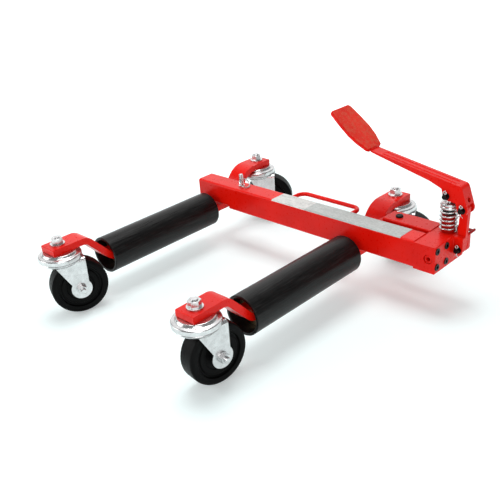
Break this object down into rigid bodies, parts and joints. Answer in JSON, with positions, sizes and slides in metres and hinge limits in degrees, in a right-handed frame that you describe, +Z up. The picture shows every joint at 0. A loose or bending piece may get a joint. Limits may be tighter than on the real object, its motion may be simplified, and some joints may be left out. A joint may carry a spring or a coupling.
{
  "type": "wheel dolly",
  "caption": "Hydraulic wheel dolly: roller arms on a telescoping beam closed by a foot pump, with a lock pin and swivel casters.",
  "frame": {"origin": "on the floor, under the middle of the dolly's bounding box", "axes": "+X along the beam from its open end to the pump, +Y from the rollers' free ends to the beam, +Z up"},
  "size_m": [0.5787, 0.5995, 0.3066],
  "materials": {
    "red_paint": "glossy sprayed enamel",
    "dark_red_paint": "glossy sprayed enamel",
    "black_roller": "satin black enamel",
    "zinc_steel": "bright zinc plate",
    "dark_steel": "black oxide",
    "chrome_steel": "hard chrome",
    "bare_steel": "bare machined steel",
    "black_tread": "moulded solid rubber",
    "black_plastic": "moulded",
    "bronze_bush": "machined",
    "label_white": "satin vinyl",
    "label_grey": "satin vinyl",
    "grip_sheet": "gritty anti-slip sheet"
  },
  "bodies": {
    "frame": {"main_tube": "red_paint", "left_arm": "red_paint", "left_arm_gusset": "red_paint", "left_roller_bushings": "bronze_bush", "carry_handle": "red_paint", "label_white": "label_white", "label_grey": "label_grey", "ram_rod": "chrome_steel", "ram_piston": "bare_steel", "left_stems": "zinc_steel", "left_stem_nuts": "zinc_steel", "left_races": "zinc_steel", "left_race_balls": "zinc_steel"},
    "slider": {"inner_tube": "bare_steel", "tube_flange": "red_paint", "ram_cylinder": "bare_steel", "ram_gland": "bare_steel", "valve_block": "red_paint", "block_screws": "dark_steel", "relief_screw": "red_paint", "reservoir": "red_paint", "filler_plug": "black_plastic", "arm_bridge": "red_paint", "right_arm": "red_paint", "right_roller_bushings": "bronze_bush", "pump_cylinder": "dark_red_paint", "pump_seal": "black_plastic", "return_spring": "zinc_steel", "ear_bracket": "red_paint", "link_foot_pin": "dark_steel", "link_foot_cotter": "zinc_steel", "right_stems": "zinc_steel", "right_stem_nuts": "zinc_steel", "right_races": "zinc_steel", "right_race_balls": "zinc_steel"},
    "left_roller": {"left_roller": "black_roller"},
    "right_roller": {"right_roller": "black_roller"},
    "lock_pin": {"lock_pin": "zinc_steel"},
    "pull_ring": {"pull_ring": "zinc_steel"},
    "link": {"link_bar": "red_paint"},
    "pedal": {"lever_pins": "dark_steel", "lever_pin_cotters": "zinc_steel", "pedal_lever": "red_paint", "pedal_plate": "red_paint", "pedal_grip": "grip_sheet"},
    "plunger": {"pump_plunger": "chrome_steel", "spring_cup": "zinc_steel"},
    "release_lever": {"release_lever": "dark_red_paint"},
    "caster_fl": {"caster_fl_fork": "zinc_steel", "caster_fl_axle": "zinc_steel"},
    "wheel_fl": {"caster_fl_wheel": "black_tread"},
    "caster_fr": {"caster_fr_fork": "zinc_steel", "caster_fr_axle": "zinc_steel"},
    "wheel_fr": {"caster_fr_wheel": "black_tread"},
    "caster_rl": {"caster_rl_fork": "zinc_steel", "caster_rl_axle": "zinc_steel"},
    "wheel_rl": {"caster_rl_wheel": "black_tread"},
    "caster_rr": {"caster_rr_fork": "zinc_steel", "caster_rr_axle": "zinc_steel"},
    "wheel_rr": {"caster_rr_wheel": "black_tread"}
  },
  "joints": [
    {"name": "beam_spread", "type": "slide", "parent": "frame", "child": "slider", "axis": [1, 0, 0], "range_m": [0, 0.2]},
    {"name": "left_roller_spin", "type": "hinge", "parent": "frame", "child": "left_roller", "pos_m": [-0.2514, -0.0416, 0.0766], "axis": [0, 1, 0], "continuous": true},
    {"name": "right_roller_spin", "type": "hinge", "parent": "slider", "child": "right_roller", "pos_m": [0.1006, -0.0416, 0.0766], "axis": [0, 1, 0], "continuous": true},
    {"name": "lock_pin_lift", "type": "slide", "parent": "frame", "child": "lock_pin", "axis": [0, 0, 1], "range_m": [0, 0.06]},
    {"name": "pull_ring_swing", "type": "hinge", "parent": "lock_pin", "child": "pull_ring", "pos_m": [-0.1794, 0.1219, 0.145], "axis": [0, -1, 0], "range_deg": [0, 140]},
    {"name": "link_swing", "type": "hinge", "parent": "slider", "child": "link", "pos_m": [0.2769, 0.1704, 0.1065], "axis": [0, -1, 0], "range_deg": [-4.6, 0]},
    {"name": "pedal_press", "type": "hinge", "parent": "link", "child": "pedal", "pos_m": [0.2796, 0.1704, 0.1769], "axis": [0, -1, 0], "range_deg": [0, 28]},
    {"name": "plunger_stroke", "type": "slide", "parent": "slider", "child": "plunger", "axis": [0, 0, -1], "range_m": [0, 0.0136], "stiffness_N_per_m": 300, "springref_m": -0.02, "deforming": ["return_spring"]},
    {"name": "release_turn", "type": "hinge", "parent": "slider", "child": "release_lever", "pos_m": [0.2626, 0.1874, 0.1295], "axis": [0, 0, 1], "range_deg": [0, 90]},
    {"name": "swivel_fl", "type": "hinge", "parent": "frame", "child": "caster_fl", "pos_m": [-0.2514, -0.2621, 0.1085], "axis": [0, 0, 1], "continuous": true},
    {"name": "roll_fl", "type": "hinge", "parent": "caster_fl", "child": "wheel_fl", "pos_m": [-0.24316, -0.24063, 0.0508], "axis": [0.9336, -0.3584, 0], "continuous": true},
    {"name": "swivel_fr", "type": "hinge", "parent": "slider", "child": "caster_fr", "pos_m": [0.1006, -0.2621, 0.1085], "axis": [0, 0, 1], "continuous": true},
    {"name": "roll_fr", "type": "hinge", "parent": "caster_fr", "child": "wheel_fr", "pos_m": [0.1038, -0.23932, 0.0508], "axis": [0.9903, -0.1392, 0], "continuous": true},
    {"name": "swivel_rl", "type": "hinge", "parent": "frame", "child": "caster_rl", "pos_m": [-0.2514, 0.242, 0.1085], "axis": [0, 0, 1], "continuous": true},
    {"name": "roll_rl", "type": "hinge", "parent": "caster_rl", "child": "wheel_rl", "pos_m": [-0.23378, 0.25678, 0.0508], "axis": [0.6428, -0.766, 0], "continuous": true},
    {"name": "swivel_rr", "type": "hinge", "parent": "slider", "child": "caster_rr", "pos_m": [0.1006, 0.242, 0.1085], "axis": [0, 0, 1], "continuous": true},
    {"name": "roll_rr", "type": "hinge", "parent": "caster_rr", "child": "wheel_rr", "pos_m": [0.12091, 0.2528, 0.0508], "axis": [0.4695, -0.8829, 0], "continuous": true}
  ],
  "couplings": [
    {"joint": "link_swing", "follows": "pedal_press", "ratio": -0.157},
    {"joint": "plunger_stroke", "follows": "pedal_press", "m_per_rad": 0.0274}
  ]
}
